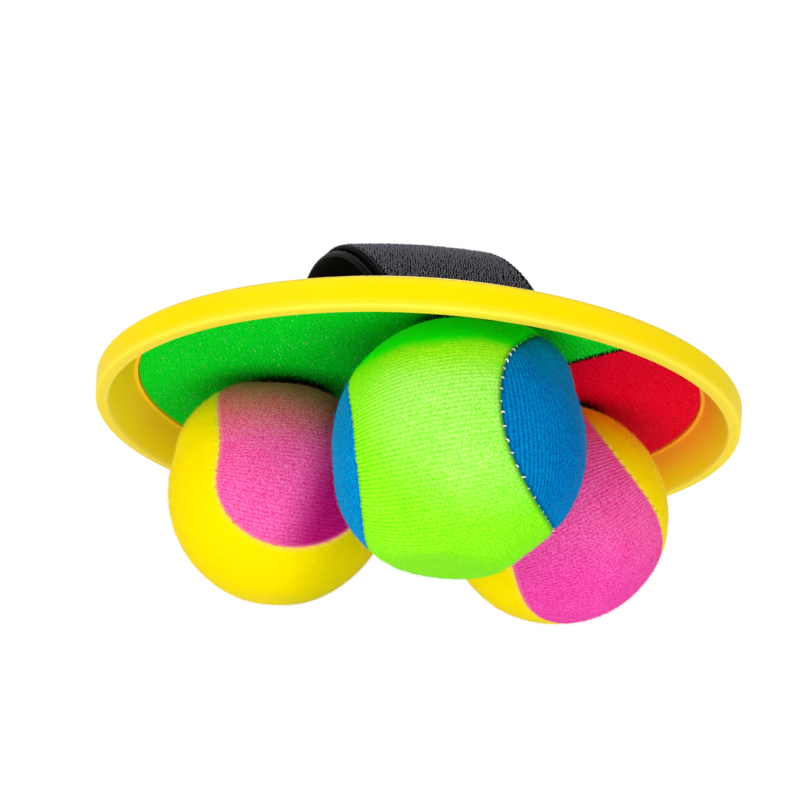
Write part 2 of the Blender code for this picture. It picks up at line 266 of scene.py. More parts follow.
def makeHookWire(name, colour, light, glint):
    material, tree, place = startMaterial(name, {"Specular IOR Level": 0.12})
    wide = noiseOf(tree, place, 60.0)
    fine = noiseOf(tree, place, 1700.0, 1.0)
    tone = mixColour(tree, spread(tree, wide, 0.3, 0.7, 0.0, 0.35), colour, light)
    # Painted glints: pale specks painted into the hook colour
    tone = mixColour(tree, spread(tree, fine, 0.64, 0.7, 0.0, glint), tone, (0.75, 1.0, 0.9, 1))
    # Painted contact shadow round the balls
    tone = mixColour(tree, paintedContactShadow(tree, place), tone, paintedShadeDark)
    return finishMaterial(material, tone, roughness=spread(tree, fine, 0.3, 0.7, 0.4, 0.18))


def makePlush(name, crest, groove, sheen, seam):
    material, tree, place = startMaterial(name, {
        "Roughness": 1.0, "Specular IOR Level": 0.02,
        "Sheen Weight": 0.35, "Sheen Roughness": 0.2, "Sheen Tint": sheen})
    pile = noiseOf(tree, place, 2100.0, 1.5)
    patch = noiseOf(tree, place, 70.0, 3.0)
    rib = spread(tree, attributeOf(tree, "rib"), 0.0, 1.0, 1.0, 0.0)
    deep = calculate(tree, "MULTIPLY", rib, 0.85)
    deep = calculate(tree, "ADD", deep, spread(tree, pile, 0.36, 0.64, -0.25, 0.5))
    deep = calculate(tree, "ADD", deep, spread(tree, patch, 0.35, 0.65, -0.08, 0.08))
    clamped = addNode(tree, "ShaderNodeClamp", {"Value": deep}).outputs[0]
    colour = mixColour(tree, clamped, crest, groove)
    # Painted light and shade: the plush takes up the colour of what lies beside it as painted reflected light, with
    # painted shadows and painted highlights
    colour = mixColour(tree, 1.0, colour, attributeOf(tree, "paintedLight", "Color"), "MULTIPLY")
    # Darker along the seam on the lime and blue covers: painted shade in the seam groove
    colour = mixColour(tree, attributeOf(tree, "edge"), colour, seam)
    return finishMaterial(material, colour, ((pile, 0.5, 0.0003), (noiseOf(tree, place, 3600.0, 1.0), 0.3, 0.00015)))


def makeThread(name, colour, shade, gloss=0.3):
    material, tree, place = startMaterial(name, {"Roughness": 0.45, "Specular IOR Level": gloss})
    twist = waveOf(tree, place, 1700.0, 2.0, "DIAGONAL")
    tone = mixColour(tree, spread(tree, twist, 0.0, 1.0, 0.5, 0.0), colour, shade)
    return finishMaterial(material, tone, ((twist, 0.4, 0.0001),))


def makeWebbing(name, colour, light, roughness):
    material, tree, place = startMaterial(name, {"Specular IOR Level": 0.02})
    flat = addNode(tree, "ShaderNodeUVMap", uv_map="flat").outputs[0]
    weave = calculate(tree, "MAXIMUM", waveOf(tree, flat, 330.0, 0.4), waveOf(tree, flat, 260.0, 0.6, "Y"))
    wearAndHighlight = noiseOf(tree, place, 180.0, 4.0)
    tone = mixColour(tree, spread(tree, weave, 0.2, 1.0, 0.0, 0.6), colour, light)
    tone = mixColour(tree, spread(tree, wearAndHighlight, 0.55, 0.75, 0.0, 0.25), tone, light)
    return finishMaterial(material, tone, ((weave, 0.6, 0.00025),),
                          spread(tree, wearAndHighlight, 0.3, 0.7, roughness, roughness + 0.15))


def makeFilling():
    material, tree, place = startMaterial("fibreFilling", {"Roughness": 0.95, "Sheen Weight": 0.3})
    fluff = noiseOf(tree, place, 300.0, 5.0)
    tone = mixColour(tree, fluff, (0.82, 0.82, 0.80, 1), (0.62, 0.62, 0.60, 1))
    return finishMaterial(material, tone, ((fluff, 0.6, 0.0008),))


plushColours = {                             # crest, groove, sheen, seam edge
    "lime": ((0.54, 0.96, 0.19, 1), (0.2, 0.84, 0.01, 1), (0.8, 1.0, 0.6, 1), (0.0, 0.2, 0.03, 1)),
    "blue": ((0.0, 0.26, 0.60, 1), (0.0, 0.10, 0.37, 1), (0.5, 0.75, 1.0, 1), (0.0, 0.10, 0.24, 1)),
    "pink": ((1.0, 0.18, 0.52, 1), (0.8, 0.02, 0.25, 1), (1.0, 0.7, 0.85, 1), (1.0, 0.3, 0.3, 1)),
    "yellow": ((1.0, 0.81, 0.0, 1), (0.98, 0.76, 0.0, 1), (1.0, 0.95, 0.5, 1), (1.0, 0.66, 0.1, 1)),
}
dishPlastic = makeDishPlastic()
greenBacking = makeHookBacking("greenHookBacking", (0.0, 0.88, 0.02, 1), (0.0, 0.5, 0.008, 1))
redBacking = makeHookBacking("redHookBacking", (0.94, 0.0, 0.03, 1), (0.65, 0.0, 0.012, 1))
greenWire = makeHookWire("greenHookWire", (0.0, 0.88, 0.02, 1), (0.0, 0.96, 0.14, 1), 0.8)
redWire = makeHookWire("redHookWire", (0.94, 0.0, 0.035, 1), (0.96, 0.0, 0.07, 1), 0.08)
plush = {word: makePlush(word + "Plush", *tones) for word, tones in plushColours.items()}
whiteThread = makeThread("whiteThread", (0.95, 0.96, 0.92, 1), (0.75, 0.80, 0.7, 1))
yellowThread = makeThread("yellowThread", (0.98, 0.80, 0.05, 1), (0.8, 0.6, 0.02, 1))
blackThread = makeThread("blackThread", (0.012, 0.012, 0.014, 1), (0.003, 0.003, 0.004, 1), 0.1)
smoothWebbing = makeWebbing("smoothWebbing", (0.001, 0.001, 0.0015, 1), (0.004, 0.004, 0.005, 1), 0.38)
loopWebbing = makeWebbing("loopWebbing", (0.002, 0.002, 0.0025, 1), (0.007, 0.007, 0.009, 1), 0.7)
loopPile = makeThread("loopPile", (0.2, 0.2, 0.24, 1), (0.02, 0.02, 0.026, 1))
filling = makeFilling()
print("materials are ready")


# Shared shape tools

def unit(vectors):
    return vectors / np.linalg.norm(vectors, axis=-1, keepdims=True)


def lengthsAlong(points):
    return np.concatenate([[0], np.cumsum(np.linalg.norm(np.diff(points, axis=0), axis=1))])


def newMesh(name, points, faces, attributes):
    mesh = bpy.data.meshes.new(name)
    mesh.from_pydata([tuple(point) for point in np.asarray(points, float).tolist()], [], faces)
    for label, values in attributes.items():
        values = np.asarray(values, np.float32)
        kind = "FLOAT_VECTOR" if values.ndim == 2 else "FLOAT"
        attribute = mesh.attributes.new(label, kind, "POINT")
        attribute.data.foreach_set("vector" if values.ndim == 2 else "value", values.ravel())
    return mesh


def newPiece(name, points, faces, material, attributes, flat=None, smoothDegrees=None):
    mesh = newMesh(name, points, faces, attributes)
    if flat is not None:
        layer = mesh.uv_layers.new(name="flat")
        corners = np.zeros(len(mesh.loops), np.int32)
        mesh.loops.foreach_get("vertex_index", corners)
        layer.data.foreach_set("uv", np.asarray(flat, np.float32)[corners].ravel())
    bm = bmesh.new()
    bm.from_mesh(mesh)
    bmesh.ops.recalc_face_normals(bm, faces=bm.faces)
    bm.to_mesh(mesh)
    bm.free()
    mesh.shade_smooth()
    if smoothDegrees:
        mesh.set_sharp_from_angle(angle=math.radians(smoothDegrees))
    mesh.materials.append(material)
    return addObject(name, mesh)


def raisedMesh(name, outline, low, height, edge=0):
    # An outline in mm, raised into a block, with rounded edges where edge is given
    bm = bmesh.new()
    base = bm.faces.new([bm.verts.new((x * mm, y * mm, low * mm)) for x, y in outline])
    raised = bmesh.ops.extrude_face_region(bm, geom=[base])["geom"]
    top = [item for item in raised if isinstance(item, bmesh.types.BMVert)]
    bmesh.ops.translate(bm, verts=top, vec=(0, 0, height * mm))
    if edge:
        rim = [item for item in raised if isinstance(item, bmesh.types.BMEdge)]
        bmesh.ops.bevel(bm, geom=rim, offset=edge * mm, segments=4, profile=0.5, affect="EDGES")
    bmesh.ops.recalc_face_normals(bm, faces=bm.faces)
    mesh = bpy.data.meshes.new(name)
    bm.to_mesh(mesh)
    bm.free()
    return mesh


def gridFaces(index):
    quads = np.stack([index[:-1, :-1], index[1:, :-1], index[1:, 1:], index[:-1, 1:]], -1).reshape(-1, 4)
    faces = []
    for quad in quads.tolist():
        corners = list(dict.fromkeys(quad))
        if len(corners) > 2:
            faces.append(corners)
    return faces


def applyModifiers(piece):
    bpy.context.view_layer.update()
    settled = piece.evaluated_get(bpy.context.evaluated_depsgraph_get())
    mesh = bpy.data.meshes.new_from_object(settled)
    old = piece.data
    piece.modifiers.clear()
    piece.data = mesh
    bpy.data.meshes.remove(old)
    mesh.name = piece.name


def softNoise(points, scale, seed, waves=7):
    # Smooth wandering from -1 to 1, the same at every run
    draw = np.random.default_rng(seed)
    total = np.zeros(len(points))
    for _ in range(waves):
        direction = draw.normal(size=3)
        direction *= draw.uniform(0.6, 1.5) * scale / np.linalg.norm(direction)
        total += np.sin(points @ direction + draw.uniform(0, 2 * math.pi))
    return total / waves * 1.6


def smoothStep(value):
    value = np.clip(value, 0, 1)
    return value * value * (3 - 2 * value)


# Small repeated threads: hooks, loops, stitches and pile are one bent thread, set out on points

def tuftTree(name, scattered, ribbon):
    tree = bpy.data.node_groups.new(name, "GeometryNodeTree")
    face = tree.interface
    face.new_socket("Geometry", in_out="INPUT", socket_type="NodeSocketGeometry")
    for label, kind in (("Height", "Float"), ("Reach", "Float"), ("Curl", "Float"), ("Thread Width", "Float"),
                        ("Lean", "Float"), ("Spin", "Float"), ("Size Spread", "Float"), ("Density", "Float"),
                        ("Steps", "Int"), ("Sides", "Int"), ("Seed", "Int"), ("Material", "Material")):
        face.new_socket(label, in_out="INPUT", socket_type="NodeSocket" + kind)
    face.new_socket("Geometry", in_out="OUTPUT", socket_type="NodeSocketGeometry")
    given = addNode(tree, "NodeGroupInput").outputs

    def times(first, second):
        return calculate(tree, "MULTIPLY", first, second)

    def vector(x=0.0, y=0.0, z=0.0):
        return addNode(tree, "ShaderNodeCombineXYZ", {0: x, 1: y, 2: z}).outputs[0]

    bend = addNode(tree, "GeometryNodeCurvePrimitiveBezierSegment", {
        "Resolution": given["Steps"], "Start": (0, 0, 0),
        "Start Handle": vector(z=times(given["Height"], 1.25)),
        "End Handle": vector(x=given["Reach"], z=times(given["Height"], 1.45)),
        "End": vector(x=given["Reach"], z=times(given["Height"], given["Curl"]))})
    if ribbon:
        half = times(given["Thread Width"], 0.5)
        outline = addNode(tree, "GeometryNodeCurvePrimitiveLine", {"Start": vector(x=times(half, -1.0)),
                                                                   "End": vector(x=half)})
    else:
        outline = addNode(tree, "GeometryNodeCurvePrimitiveCircle", {
            "Resolution": given["Sides"], "Radius": times(given["Thread Width"], 0.5)})
    thread = addNode(tree, "GeometryNodeCurveToMesh", {"Curve": bend.outputs[0], "Profile Curve": outline.outputs[0],
                                                       "Fill Caps": not ribbon})
    smooth = addNode(tree, "GeometryNodeSetShadeSmooth", {"Geometry": thread.outputs[0]})
    if scattered:
        spots = addNode(tree, "GeometryNodeDistributePointsOnFaces", {
            "Mesh": given["Geometry"], "Density": given["Density"], "Seed": given["Seed"],
            "Selection": addNode(tree, "GeometryNodeInputNamedAttribute", {"Name": "pile"},
                                 data_type="BOOLEAN").outputs[0]})
        points, upright = spots.outputs["Points"], spots.outputs["Rotation"]
        size = 1.0
    else:
        points = given["Geometry"]
        facing = addNode(tree, "GeometryNodeInputNamedAttribute", {"Name": "facing"}, data_type="FLOAT_VECTOR")
        heading = addNode(tree, "GeometryNodeInputNamedAttribute", {"Name": "heading"}, data_type="FLOAT_VECTOR")
        upright = addNode(tree, "FunctionNodeAlignRotationToVector", {"Vector": facing.outputs[0]}, axis="Z")
        upright = addNode(tree, "FunctionNodeAlignRotationToVector", {
            "Rotation": upright.outputs[0], "Vector": heading.outputs[0]}, axis="X", pivot_axis="Z").outputs[0]
        size = addNode(tree, "GeometryNodeInputNamedAttribute", {"Name": "size"}, data_type="FLOAT").outputs[0]
    lean = addNode(tree, "FunctionNodeRandomValue", {
        0: vector(times(given["Lean"], -1.0), times(given["Lean"], -1.0), times(given["Spin"], -1.0)),
        1: vector(given["Lean"], given["Lean"], given["Spin"]), "Seed": given["Seed"]}, data_type="FLOAT_VECTOR")
    leaning = addNode(tree, "FunctionNodeEulerToRotation", {0: lean.outputs[0]})
    rotation = addNode(tree, "FunctionNodeRotateRotation", {"Rotation": upright, "Rotate By": leaning.outputs[0]},
                       rotation_space="LOCAL")
    grown = addNode(tree, "FunctionNodeRandomValue", {
        2: calculate(tree, "SUBTRACT", 1.0, given["Size Spread"]),
        3: calculate(tree, "ADD", 1.0, given["Size Spread"]), "Seed": given["Seed"]}, data_type="FLOAT")
    scale = times(grown.outputs[1], size)
    placed = addNode(tree, "GeometryNodeInstanceOnPoints", {
        "Points": points, "Instance": smooth.outputs[0], "Rotation": rotation.outputs[0],
        "Scale": vector(scale, scale, scale)})
    real = addNode(tree, "GeometryNodeRealizeInstances", {"Geometry": placed.outputs[0]})
    finished = addNode(tree, "GeometryNodeSetMaterial", {"Geometry": real.outputs[0], "Material": given["Material"]})
    addNode(tree, "NodeGroupOutput", {"Geometry": finished.outputs[0]})
    return tree


def growTufts(name, source, tree, material, sizes):
    # source is a mesh, or its points, that the threads stand on
    holder = addObject(name, source)
    step = holder.modifiers.new("tufts", "NODES")
    step.node_group = tree
    identifiers = {item.name: item.identifier for item in tree.interface.items_tree if item.in_out == "INPUT"}
    for label, value in {**sizes, "Material": material}.items():
        step[identifiers[label]] = value
    applyModifiers(holder)
    return holder


def pointMesh(name, points, facing, heading, size):
    return newMesh(name, points, [], {"facing": facing, "heading": heading, "size": size})


placedTufts = tuftTree("placedTufts", False, False)
scatteredPile = tuftTree("scatteredPile", True, True)


# Dish: the moulded paddle with its rim, seat, and a padded slot for each end of the strap

dishSettings = {
    "turnSteps": 288,
    "profile": (                             # radius, height, rounding, in mm, from the middle of the back
        (0, 66.2, 0), (40, 66.2, 0), (74, 66.2, 0), (79, 66.2, 3.5), (87.2, 62.75, 9), (94.5, 59.1, 1.2),
        (94.15, 55.5, 0), (93.8, 51.6, 1.15), (90.5, 51.6, 0.7), (84.1, 62.3, 0.45),
        (83.05, 62.3, 0.25), (83.05, 64.4, 0), (40, 64.4, 0), (0, 64.4, 0)),
    "roundSteps": 5,
    "slotHalf": 26, "slotNear": 56, "slotFar": 58, "pocketEnd": 66.3,
    "padBorder": 2.5, "padTop": 68.2, "padRound": 0.8,
    "plateUnder": 64.4, "plateBack": 66.2, "pocketTop": 66.1,
}


def roundedProfile(corners, steps):
    points = []
    for place, (radius, height, rounding) in enumerate(corners):
        here = np.array([radius, height], float)
        if not rounding:
            points.append(here)
            continue
        before = np.array(corners[place - 1][:2], float) - here
        after = np.array(corners[place + 1][:2], float) - here
        beforeLength, afterLength = np.linalg.norm(before), np.linalg.norm(after)
        before, after = before / beforeLength, after / afterLength
        half = math.acos(np.clip(before @ after, -1, 1)) / 2
        cut = min(rounding / math.tan(half), beforeLength * 0.48, afterLength * 0.48)
        start, end = here + before * cut, here + after * cut
        middle = here + (before + after) / np.linalg.norm(before + after) * cut / math.cos(half)
        fitted = cut * math.tan(half)
        for step in range(steps + 1):
            chord = start + (end - start) * step / steps
            points.append(middle + (chord - middle) / np.linalg.norm(chord - middle) * fitted)
    filled = [points[0]]
    for here in points[1:]:
        # Short steps on the rim, so that the painted highlight lines stay by its edges
        count = max(1, int(np.linalg.norm(here - filled[-1]))) if here[0] > 83 and filled[-1][0] > 83 else 1
        filled += [filled[-1] + (here - filled[-1]) * (step + 1) / count for step in range(count)]
    return np.array(filled) * mm


def blockTool(name, halfX, lowY, highY, lowZ, highZ, corner, edge):
    outline = []
    for x, y, start in ((halfX - corner, highY - corner, 0), (corner - halfX, highY - corner, 90),
                        (corner - halfX, lowY + corner, 180), (halfX - corner, lowY + corner, 270)):
        for step in range(7):
            angle = math.radians(start + 15 * step)
            outline.append((x + corner * math.cos(angle), y + corner * math.sin(angle)))
    return addObject(name, raisedMesh(name, outline, lowZ, highZ - lowZ, edge))


def makeDish(settings):
    profile = roundedProfile(settings["profile"], settings["roundSteps"])
    steps = settings["turnSteps"]
    angles = np.arange(steps) * 2 * math.pi / steps
    rings = profile[1:-1]
    points = np.stack([rings[:, :1] * np.cos(angles), rings[:, :1] * np.sin(angles),
                       np.repeat(rings[:, 1:], steps, 1)], -1).reshape(-1, 3)
    index = np.arange(len(rings) * steps).reshape(len(rings), steps)
    faces = gridFaces(np.concatenate([index, index[:, :1]], 1))
    top, bottom = len(points), len(points) + 1
    points = np.concatenate([points, [[0, 0, profile[0, 1]], [0, 0, profile[-1, 1]]]])
    for step in range(steps):
        after = (step + 1) % steps
        faces.append([top, index[0, step], index[0, after]])
        faces.append([bottom, index[-1, after], index[-1, step]])
    radius = np.hypot(points[:, 0], points[:, 1])
    # Painted highlight lines along the rounded lip corner and, fainter, along the shoulder edge
    lip = np.exp(-((points[:, 2] - 52.0 * mm) / (0.6 * mm)) ** 2) * (radius > 89 * mm)
    shoulder = np.exp(-((points[:, 2] - 58.9 * mm) / (0.5 * mm)) ** 2) * (radius > 93.9 * mm)
    # Painted reflected light: the inner wall takes up the colour of the hook fabric beside it, painted orange, most
    # near the fabric and on the red half
    beside = (points[:, 0] * math.cos(splitTurn) + points[:, 1] * math.sin(splitTurn)) / radius.clip(mm)
    inside = (radius > 83 * mm) & (radius + 0.6 * (points[:, 2] - 51.6 * mm) < 91.2 * mm)
    paintedBounce = smoothStep((points[:, 2] / mm - 52) / 10.5) * inside * (0.35 + 0.65 * smoothStep(beside * 2 + 0.5))
    dish = newPiece("dish", points, faces, dishPlastic, {"wearAndHighlight": np.maximum(lip, shoulder * 0.7), "paintedBounce": paintedBounce})
    tools = []
    for side in (-1, 1):
        for kind, half, near, far, low, high, corner, edge in (
                ("pad", settings["slotHalf"] + settings["padBorder"], settings["slotNear"] - settings["padBorder"],
                 settings["pocketEnd"] + settings["padBorder"], settings["plateBack"] - 0.9, settings["padTop"],
                 settings["padBorder"], settings["padRound"]),
                ("pocket", settings["slotHalf"], settings["slotNear"], settings["pocketEnd"],
                 settings["plateUnder"] - 0.9, settings["pocketTop"], 0.66, 0),
                ("slot", settings["slotHalf"], settings["slotNear"], settings["slotFar"],
                 settings["plateUnder"] - 0.2, settings["padTop"] + 0.9, 0.66, 0)):
            lowY, highY = sorted((side * near, side * far))
            tool = blockTool(f"{kind}Tool", half, lowY, highY, low, high, corner, edge)
            step = dish.modifiers.new(kind, "BOOLEAN")
            step.operation = "UNION" if kind == "pad" else "DIFFERENCE"
            step.solver = "EXACT"
            step.object = tool
            tools.append(tool)
    applyModifiers(dish)
    for tool in tools:
        bpy.data.objects.remove(tool)
    dish.data.shade_smooth()
    dish.data.set_sharp_from_angle(angle=math.radians(32))
    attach(dish, "root")
    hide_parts("paddle_shell")
    return dish


dish = makeDish(dishSettings)
print("dish done:", len(dish.data.polygons), "faces")


# Balls: two alike knitted covers each, sewn along one closed seam, over a fibre filling

ballSettings = {
    "radius": 32.5,
    "coverThickness": 1.8,
    "seamShape": 0.78,
    "hookPress": 1.2,                        # flat under the hooks, with the clearance
    "groundPress": 1.0,
    "centreHeight": 31.5,
    "ribPitch": 1.2,
    "ribSteps": 5,
    "ribHeight": 0.2,
    "columns": 22,
    "innerColumns": 3,
    "seamWidth": 1.2,
    "stitchPitch": 2.8,
    "pucker": 0.14,
    "softness": 0.2,
    "pileDepth": 0.2,                        # kept for the pile that stands out of the cover
    "groundSoft": 0.35,
    "ribShare": {"lime": 1.25, "blue": 1.15, "pink": 0.8, "yellow": 0.15},
    "ribFade": {"lime": 0.75, "blue": 0, "pink": 0, "yellow": 0},
    "nudgeReach": 0.33,
    "seed": 11,
}
balls = {
    "ball_front": {
        "at": ballPlaces["ball_front"], "turn": (77, -39, 158), "panels": ("blue", "lime"), "thread": whiteThread,
        "seamDepth": 0.55, "faint": (-1, 0, 0),
        "swells": (((-0.3, 0.35, -0.89), 0.5, 0.45, 2.6), ((0.52, -0.4, 0.76), 0.89, 0.11, 2.3)),
        "nudges": (                          # towards, push in mm: how the sewn seam wanders
            ((0.45, -0.50, 0.74), (0.3, 0.1, -0.1)), ((0.81, -0.08, -0.59), (-0.8, 0.5, -1.2)),
            ((-0.91, -0.19, 0.36), (-1.2, 0.3, -2.8)), ((0.12, -0.96, -0.27), (-0.4, -0.2, 0.5)),
            ((-0.85, -0.37, -0.37), (-0.5, 1.7, -0.4)), ((0.11, -0.94, 0.33), (0.1, 0.8, 2.2)),
            ((0.45, -0.66, -0.60), (2.2, 2.3, -0.9)), ((-0.74, -0.08, -0.67), (1.3, -0.9, -1.3))),
        "paintedLights": (                            # painted light and shade: colour, towards, start, width, tint
            ("lime", (0, 0.98, -0.15), -0.9, 0.5, (0.72, 1, 0.12)), ("lime", (0, 0, 1), 0.12, 0.3, (0.85, 1, 0.1)),
            ("lime", (0, 0.1, 1), 0.37, 0.14, (0.02, 1.16, 0.1)), ("lime", (0, 0, 1), 0.9, 0.04, (0.2, 0.15, 0.2)),
            ("blue", (-1, 0, 0), 0.3, 0.4, (1, 1.42, 1.2)), ("blue", (0, 0, 1), 0.3, 0.4, (1, 1.4, 1.15)))},
    "ball_left": {
        "at": ballPlaces["ball_left"], "turn": (9, 7, 138), "panels": ("pink", "yellow"), "thread": yellowThread,
        "seamDepth": 0.3, "faint": (0, 0, 0),
        "swells": (((-0.75, -0.3, -0.6), 0.5, 0.45, -0.5), ((-0.7, -0.13, 0.7), 0.82, 0.18, 2.0)),
        "nudges": (
            ((-0.63, -0.49, 0.61), (-1.7, -2.5, -3.8)), ((0.51, -0.72, -0.47), (1.7, 1.0, 0.3)),
            ((-0.54, -0.76, -0.36), (-3.0, 1.5, 1.3)), ((-0.67, -0.74, 0.08), (2.0, -1.8, 0.1)),
            ((0.19, -0.71, -0.68), (-1.2, -1.0, 0.7))),
        "paintedLights": (
            ("pink", (0, 0, 1), 0.05, 0.55, (1.1, 1.9, 0.7)), ("pink", (0.97, 0, -0.25), 0.0, 0.4, (0.5, 0.06, 0.38)),
            ("pink", (0, 0, 1), 0.9, 0.04, (0.2, 0.2, 0.2)), ("yellow", (0.9, 0, -0.3), 0.2, 0.5, (0.72, 0.78, 1)))},
    "ball_right": {
        "at": ballPlaces["ball_right"], "turn": (64, 8, -41), "panels": ("pink", "yellow"), "thread": yellowThread,
        "seamDepth": 0.3, "faint": (0, 0, 0), "swells": (((0.1, -0.5, -0.86), 0.5, 0.45, -1.0),),
        "nudges": (
            ((0.01, -0.78, 0.62), (1.6, -0.3, -0.4)), ((0.77, -0.62, -0.16), (-0.5, -0.3, -0.9)),
            ((-0.57, -0.45, -0.69), (0.9, -1.2, 0.1)), ((0.40, -0.90, 0.16), (-0.3, -0.3, -0.8)),
            ((-0.36, -0.22, -0.91), (-0.7, 0.4, 0.2)), ((0.9, -0.35, -0.3), (0.8, 2.4, 0.2))),
        "paintedLights": (("pink", (0, 0, -1), 0.3, 0.5, (1, 0.7, 1.1)), ("yellow", (0, 0, 1), 0.9, 0.04, (0.3, 0.2, 0.2)))},
}


def worldDirections(directions, spec, settings):
    rotation = np.array(Euler([math.radians(angle) for angle in spec["turn"]], "XYZ").to_matrix())
    world = directions @ rotation.T
    moved = world.copy()
    for towards, push in spec["nudges"]:
        away = ((world - towards) ** 2).sum(-1, keepdims=True)
        moved += np.exp(-away / (2 * settings["nudgeReach"] ** 2)) * np.array(push) / settings["radius"]
    return unit(moved)


def seamPoints(turns, wide):
    narrow = 1 - wide
    return unit(np.stack([wide * np.cos(turns) + narrow * np.cos(3 * turns),
                          wide * np.sin(turns) - narrow * np.sin(3 * turns),
                          2 * math.sqrt(wide * narrow) * np.sin(2 * turns)], -1))


def edgePoints(turns, inset, wide):
    here = seamPoints(turns, wide)
    along = seamPoints(turns + 0.01, wide) - seamPoints(turns - 0.01, wide)
    return unit(here + unit(np.cross(here, along)) * inset)


def betweenPoints(first, second, share):
    angle = np.arccos(np.clip((first * second).sum(-1, keepdims=True), -1, 1))
    angle = np.maximum(angle, 1e-5)
    return (np.sin((1 - share) * angle) * first + np.sin(share * angle) * second) / np.sin(angle)


def panelGrid(settings):
    # Directions across one panel, a row for each step along it, so that the ribs run from seam to seam
    wide = settings["seamShape"]
    inset = -0.04 / settings["radius"]       # the two covers are squeezed together at the seam
    shares = np.linspace(0, 1, 4001)
    right = edgePoints(-math.pi / 4 + math.pi * shares, inset, wide)
    left = edgePoints(-math.pi / 4 - math.pi * shares, inset, wide)
    middle = betweenPoints(left, right, 0.5)
    travelled = lengthsAlong(middle)
    rows = round(travelled[-1] * settings["radius"] / settings["ribPitch"]) * settings["ribSteps"]
    picked = np.interp(np.linspace(0, travelled[-1], rows + 1), travelled, shares)
    right = edgePoints(-math.pi / 4 + math.pi * picked, inset, wide)
    left = edgePoints(-math.pi / 4 - math.pi * picked, inset, wide)
    return left, right, rows


def columnShares(count):
    # Closer together near the seam
    even = np.linspace(-1, 1, count + 1)
    return 0.5 + 0.5 * np.sin(even * math.pi / 2 * 0.93) / math.sin(math.pi / 2 * 0.93)


def bulgeAt(world, spec):
    # Each ball is a little fuller or flatter on some sides
    return sum(size * smoothStep((world @ np.array(towards) - start) / width)
               for towards, start, width, size in spec["swells"])


def seamShow(world, spec):
    # How plainly the seam and its thread show: less where the pile covers them
    return 1 - 0.65 * smoothStep(world @ np.array(spec["faint"]) * 2)


